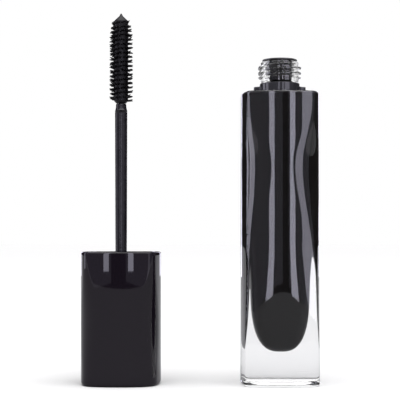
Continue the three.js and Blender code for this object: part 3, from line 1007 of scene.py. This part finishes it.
@dataclass
class Wand:
    """The stem and its moulded brush. Sizes are in millimetres."""

    ring_pitch: float = 1.15
    needles: int = 26
    core: float = 1.85
    taper: float = 5.2
    tip: float = 2.3
    stem_at_cap: float = 1.48
    stem_at_brush: float = 1.62
    head: float = 2.1
    sink: float = 0.25
    seed: int = 7

    def __post_init__(self) -> None:
        """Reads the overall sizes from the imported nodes."""
        stem, brush = extent("stem"), extent("brush")
        self.centre, self.stem_low, self.stem_high = (stem.middle, 0.0), stem.bottom, stem.top
        self.shank_low, self.brush_high, self.reach = brush.bottom, brush.top, brush.half

    def build(self) -> list[bpy.types.Object]:
        """Makes the pieces.

        Returns:
            The stem and the brush.
        """
        return [self.stem(), self.brush()]

    def stem(self) -> bpy.types.Object:
        """The stem, which thickens a little towards the brush and narrows where the brush plugs in.

        Returns:
            The finished piece.
        """
        end, low, head = self.stem_high, self.stem_low, self.head
        shaft = np.linspace((self.stem_at_cap, low + 6.4), (self.stem_at_brush, end - 1.7), 60)
        profile = joined(
            (0, low), (head - 0.2, low), (head, low + 0.2), (head, low + 5.8), (head - 0.2, low + 6.0), shaft,
            arc((1.42, end - 1.75), 0.2, 0, 45, 4), (1.44, end - 1.1), (1.38, end - 0.7), (1.36, end - 0.1),
            (1.3, end), (0.8, end), (0.8, end - 10), (0, end - 10),
        )
        piece = revolve("wand_stem", profile, Around.SMALL.value, self.centre)
        plastic, film = (0.012, 0.011, 0.013, 1), (0.005, 0.0045, 0.006, 1)
        dress(piece, PasteFilm("stem_plastic", plastic, film, 0.07, 0.28).material())
        return enlist(piece, Body.CAP, "stem_plastic", "stem")

    def brush(self) -> bpy.types.Object:
        """The moulded brush: the core with its pointed tip, and rings of tapered needles, as one mesh.

        A needle is a cone of a few facets that leaves the core at an angle a: its point at share t of its
        length is the ring's centre + (core + t * length) * (cos a, sin a, 0) + t^2 * lift. Each ring climbs by
        one pitch per turn.

        Returns:
            The finished piece.
        """
        start, top, c = self.stem_high + 0.2, self.brush_high, self.core
        cone = top - self.tip
        profile = joined(
            (0, self.shank_low), (0.6, self.shank_low), (0.65, self.shank_low + 0.1), (0.65, start),
            (1.3, start), (c, start + 0.6), line((c, start + 0.7), (c, cone - 0.4), 0.5), (c * 1.12, cone),
            (c * 0.9, cone + 0.45), (0.5, top - 0.75), (0.14, top - 0.1), (0, top),
        )
        core = revolve("brush_core", profile, Around.SMALL.value // 2, self.centre)
        points, faces = self.needle_field(start, cone)
        needles = make_mesh("brush_needles", points, faces)
        with bpy.context.temp_override(active_object=core, selected_editable_objects=[core, needles]):
            bpy.ops.object.join()
        core.name = "moulded_brush"
        rubber, film = (0.004, 0.0033, 0.0045, 1), (0.002, 0.0017, 0.0024, 1)
        dress(core, PasteFilm("brush_elastomer", rubber, film, 0.34, 0.22).material())
        return enlist(core, Body.CAP, "brush_elastomer", "brush")

    def needle_field(self, start: float, cone: float) -> tuple[np.ndarray, list]:
        """All the needles at once, as arrays over ring, needle, step along it and facet round it.

        Args:
            start: The height where the brush starts.
            cone: The height where the bare tip starts.

        Returns:
            The points and the faces.
        """
        rng = np.random.default_rng(self.seed)
        rings = int((cone - start - self.ring_pitch) / self.ring_pitch) + 1
        steps = np.array([0, 0.35, 0.7, 0.93, 1.0])
        thick = np.array([0.3, 0.27, 0.2, 0.11, 0.03])
        facets = Around.NEEDLE.value
        ring, spoke = np.meshgrid(np.arange(rings), np.arange(self.needles), indexing="ij")
        z = start + self.ring_pitch * (ring + 0.6 + spoke / self.needles) + rng.normal(0, 0.07, ring.shape)
        turn = 2 * np.pi * spoke / self.needles + rng.normal(0, 0.06, ring.shape)
        share = np.clip((self.brush_high - z) / (self.taper + self.tip), 0, 1)
        length = (self.reach - self.core) * np.sin(share * np.pi / 2)
        reach = self.core + length * (1 - 0.12 * rng.random(ring.shape) ** 2)
        lift = rng.normal(0.12, 0.2, ring.shape)
        t = steps[None, None, :, None]
        a = (np.arange(facets) * 2 * np.pi / facets)[None, None, None]
        root = self.core - self.sink
        along = root + t * (reach - root)[..., None, None]
        wide = thick[None, None, :, None]
        side, up = wide * np.cos(a), wide * np.sin(a) + t * t * lift[..., None, None]
        ca, sa = np.cos(turn)[..., None, None], np.sin(turn)[..., None, None]
        x = self.centre[0] + along * ca - side * sa
        y = self.centre[1] + along * sa + side * ca
        points = np.stack([x, y, z[..., None, None] + up + 0 * x], axis=-1).reshape(-1, 3)
        single = grid_faces(len(steps), facets)
        base = np.arange(rings * self.needles) * len(steps) * facets
        faces = (single[None] + base[:, None, None]).reshape(-1, 4).tolist()
        bottom = np.arange(facets)[::-1]
        top_cap = (len(steps) - 1) * facets + np.arange(facets)
        faces += (np.stack([bottom, top_cap])[None] + base[:, None, None]).reshape(-1, facets).tolist()
        return points, faces


# ---------------------------------------------------------------- studio


@dataclass(frozen=True)
class Panel:
    """A soft light panel that faces one axis, placed by the azimuths that it fills as seen from there.

    Attributes:
        name: Its name.
        start: The azimuth of its left edge in degrees, 0 towards the viewer and 90 towards +X.
        end: The azimuth of its right edge.
        low: The height of its lower edge in metres.
        high: The height of its upper edge.
        radiance: How bright its surface is.
        distance: How far from the axis it stands.
    """

    name: str
    start: float
    end: float
    low: float
    high: float
    radiance: float
    distance: float = 0.6

    def build(self, axis: float, lit: bpy.types.Collection | None = None) -> None:
        """Makes the light.

        Args:
            axis: The x of the axis that the azimuths are measured from, in metres.
            lit: The pieces that it lights, or None for all.
        """
        middle, half = math.radians((self.start + self.end) / 2), math.radians((self.end - self.start) / 2)
        away = Vector((math.sin(middle), -math.cos(middle), 0))
        data = bpy.data.lights.new(self.name, "AREA")
        data.shape = "RECTANGLE"
        data.size, data.size_y = 2 * self.distance * math.tan(half), self.high - self.low
        data.energy = self.radiance * math.pi * data.size * data.size_y
        data.color = (0.86, 0.84, 1.0)
        light = bpy.data.objects.new(self.name, data)
        light.location = Vector((axis, 0, (self.low + self.high) / 2)) + self.distance * away
        light.rotation_euler = (-away).to_track_quat("-Z", "Y").to_euler()
        light.visible_camera = False
        light.visible_transmission = False
        if lit:
            light.light_linking.receiver_collection = lit
        bpy.context.scene.collection.objects.link(light)


STRIP_HALF = 0.72


def strip_pair(tag: str, towards_viewer: float, offset: float, bulge: float, low: float) -> list[Panel]:
    """Two tall strips whose reflections lie evenly either side of the middle of a convex face.

    A face of radius R turns by s / R at offset s, and a mirror sends the view at azimuth v to 2 s / R - v.

    Args:
        tag: Starts their names.
        towards_viewer: The azimuth of the viewer from the axis, in degrees.
        offset: Where the reflections lie, in millimetres from the middle of the face.
        bulge: The face's radius in millimetres.
        low: The height of their lower ends in metres.

    Returns:
        The left and right strips.
    """
    turn, half = 2 * math.degrees(offset / bulge), 2 * math.degrees(STRIP_HALF / bulge)
    left, right = -turn - towards_viewer, turn - towards_viewer
    return [
        Panel(tag + "_strip_left", left - half, left + half, low, 0.9, 5.8, 0.58),
        Panel(tag + "_strip_right", right - half, right + half, low, 0.9, 6.4, 0.58),
    ]


def room_sides(tag: str, dark_start: float, dark_end: float) -> list[Panel]:
    """The dim room in front of an object, in two halves with a dark gap between them.

    Args:
        tag: Starts their names.
        dark_start: The azimuth where the gap starts, in degrees.
        dark_end: Where it ends.

    Returns:
        The left and right halves.
    """
    return [
        Panel(tag + "_room_left", -80, dark_start, 0.0, 1.6, 0.42),
        Panel(tag + "_room_right", dark_end, 80, 0.0, 1.6, 0.42),
    ]


@dataclass
class Studio:
    """Pale floor, soft light panels and the camera. Sizes are in metres, the lens in millimetres.

    Attributes:
        distance: How far the camera stands from the plane of the two axes.
        eye_height: Its height.
        lens: Its focal length.
        rise: Its upward shift, as a share of the frame.
        sideways: Its sideways shift, as a share of the frame.
        floor_front: How far the floor reaches towards the viewer.
        floor_far: How far it reaches the other ways.
    """

    distance: float = 0.3016
    eye_height: float = 0.03756
    lens: float = 103.14
    rise: float = 0.1
    sideways: float = -0.001
    floor_front: float = 0.6
    floor_far: float = 9.0

    def build(self) -> None:
        """Makes the floor, the surround, the soft top light with the ceiling's glow, and the camera."""
        self.floor()
        self.surround()
        self.top()
        self.camera()

    def floor(self) -> None:
        """A pale sheet under the object, which ends in front where the light panels stand."""
        corners = np.array([[-1, -self.floor_front, 0], [1, -self.floor_front, 0], [1, 1, 0], [-1, 1, 0]])
        corners[:, 0] *= self.floor_far
        corners[2:, 1] *= self.floor_far
        piece = make_mesh("floor", corners / MM, [[0, 1, 2, 3]])
        dress(piece, TableTop().material())

    @staticmethod
    def top() -> None:
        """A very soft light from above."""
        data = bpy.data.lights.new("top", "SUN")
        data.energy, data.angle = 3.7, 1.4
        light = bpy.data.objects.new("top", data)
        light.rotation_euler = (0.25, 0.1, 0)
        bpy.context.scene.collection.objects.link(light)
        glow = bpy.data.lights.new("ceiling", "AREA")
        glow.shape, glow.size, glow.size_y = "RECTANGLE", 1.6, 1.2
        glow.energy = 0.45 * math.pi * 1.6 * 1.2
        ceiling = bpy.data.objects.new("ceiling", glow)
        ceiling.location = (-0.02, 0, 1.0)
        ceiling.visible_camera = False
        bpy.context.scene.collection.objects.link(ceiling)

    @staticmethod
    def light(axis: float, lit: Sequence[bpy.types.Object], tag: str, panels: Sequence[Panel]) -> None:
        """Lights one side of the tube with its own panels.

        Args:
            axis: The x of its axis in metres.
            lit: Its pieces.
            tag: The name of their collection.
            panels: The panels.
        """
        group = bpy.data.collections.new(tag)
        for piece in lit:
            group.objects.link(piece)
        for panel in panels:
            panel.build(axis, group)

    @staticmethod
    def surround() -> None:
        """A white surround where it is seen, straight or through the clear wall, and dim in reflections."""
        world = bpy.data.worlds.new("surround")
        bpy.context.scene.world = world
        world.use_nodes = True
        tree = world.node_tree
        tree.nodes.clear()
        kinds = ("OutputWorld", "Background", "Background", "MixShader", "LightPath", "Math")
        output, dim, white, mix, path, either = (tree.nodes.new("ShaderNode" + kind) for kind in kinds)
        dim.inputs[0].default_value, dim.inputs[1].default_value = (1.0, 0.86, 0.88, 1), 0.03
        white.inputs[0].default_value, white.inputs[1].default_value = (1, 1, 1, 1), 1.0
        either.operation = "MAXIMUM"
        tree.links.new(path.outputs["Is Camera Ray"], either.inputs[0])
        tree.links.new(path.outputs["Is Transmission Ray"], either.inputs[1])
        tree.links.new(either.outputs[0], mix.inputs[0])
        tree.links.new(dim.outputs[0], mix.inputs[1])
        tree.links.new(white.outputs[0], mix.inputs[2])
        tree.links.new(mix.outputs[0], output.inputs[0])

    def camera(self) -> None:
        """A level camera half-way between the two axes, with the horizon moved up by a small shift."""
        data = bpy.data.cameras.new("camera")
        data.lens = self.lens
        data.shift_x, data.shift_y = self.sideways, self.rise
        data.clip_start = 0.01
        camera = bpy.data.objects.new("camera", data)
        camera.location = (extent("overcap").middle * MM / 2, -self.distance, self.eye_height)
        camera.rotation_euler = (math.pi / 2, 0, 0)
        bpy.context.scene.collection.objects.link(camera)
        bpy.context.scene.camera = camera


def main() -> None:
    """Builds the studio, the bottle, the cap and the wand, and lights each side."""
    logging.basicConfig(level=logging.INFO, format="%(name)s: %(message)s")
    studio = Studio()
    studio.build()
    bottle, cap, wand = Bottle(), Cap(), Wand()
    bottle_side, cap_side = bottle.build(), cap.build() + wand.build()
    for piece in bottle_side + cap_side:
        LOG.info("made %s", piece.name)
    viewer = math.degrees(math.atan2(cap.centre[0] * MM / 2, studio.distance))
    shared = [
        Panel("back_left", -170, -165, 0.0, 0.9, 3.0, 0.9),
        Panel("back_right", 165, 170, 0.0, 0.9, 3.0, 0.9),
    ]
    bottle_sides = [
        Panel("bottle_side_right", 26, 54, 0.0, 0.9, 4.0, 0.55),
        Panel("bottle_side_left", -114, -72, 0.0, 0.9, 4.2, 0.55),
    ]
    cap_sides = [
        Panel("cap_side_right", 30, 46, 0.0, 0.9, 1.1, 0.55),
        Panel("cap_side_left", -104, -82, 0.0, 0.9, 2.4, 0.55),
    ]
    studio.light(0, bottle_side, "lit_bottle", [
        *strip_pair("bottle", viewer, 2.8, bottle.section.bulge, 0.0),
        *room_sides("bottle", -viewer + 0.5, -viewer + 6.5), *bottle_sides, *shared,
    ])
    studio.light(cap.centre[0] * MM, cap_side, "lit_cap", [
        *strip_pair("cap", -viewer, 3.3, cap.section.bulge, 0.014),
        *room_sides("cap", viewer - 8, viewer + 8), *cap_sides, *shared,
    ])
    bpy.context.scene.view_settings.view_transform = "Standard"


if __name__ == "__main__":
    main()
